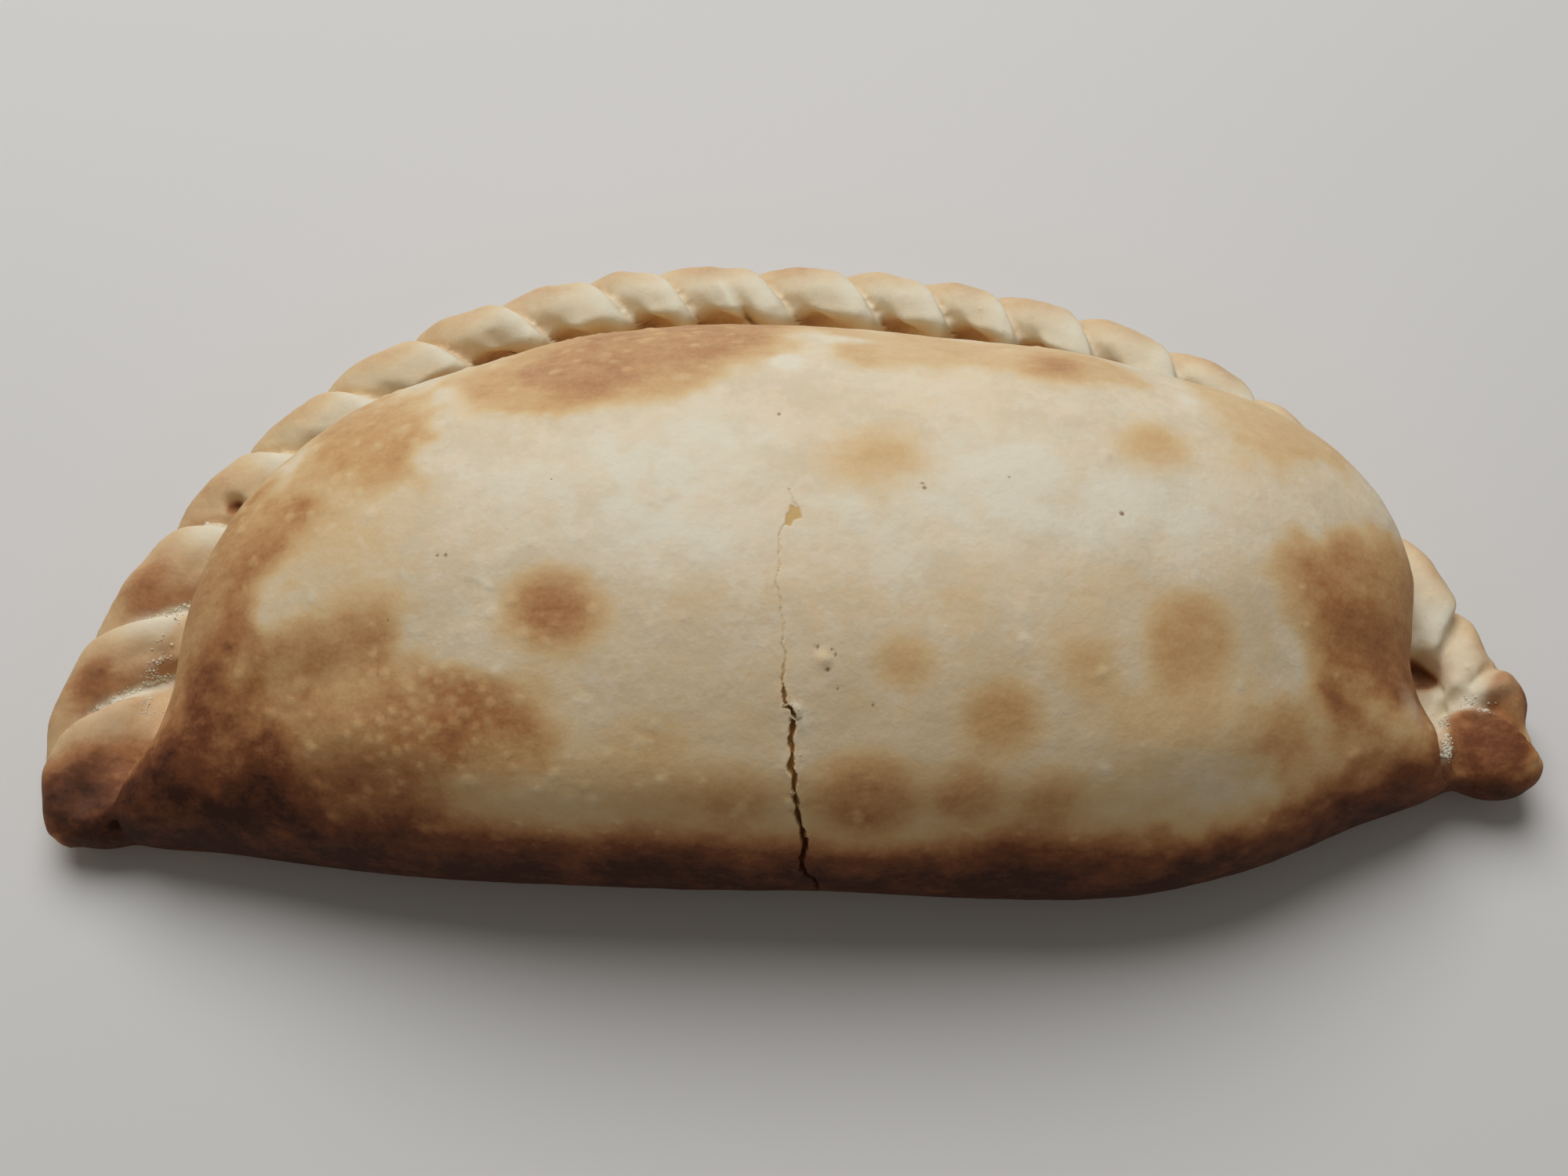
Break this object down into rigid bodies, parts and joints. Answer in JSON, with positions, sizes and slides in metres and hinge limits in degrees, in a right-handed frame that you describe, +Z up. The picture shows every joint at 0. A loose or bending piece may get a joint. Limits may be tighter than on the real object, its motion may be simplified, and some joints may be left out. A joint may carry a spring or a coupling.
{
  "type": "calzone",
  "caption": "Baked half-moon calzone: a domed, folded pocket of dough with a rope-crimped curved edge, a small knot at its right end and a crack down the front.",
  "frame": {"origin": "middle of the plan outline, on the table under the calzone", "axes": "+X along the fold, from the plain left corner to the knot; +Y from the straight fold to the crimped curved edge; +Z up"},
  "size_m": [0.1874, 0.0902, 0.0411],
  "materials": {
    "crust": "baked wheat crust: cream where pale, toasted golden to brown in patches, dusted with flour"
  },
  "bodies": {
    "root": {"calzone": "crust"}
  },
  "joints": []
}
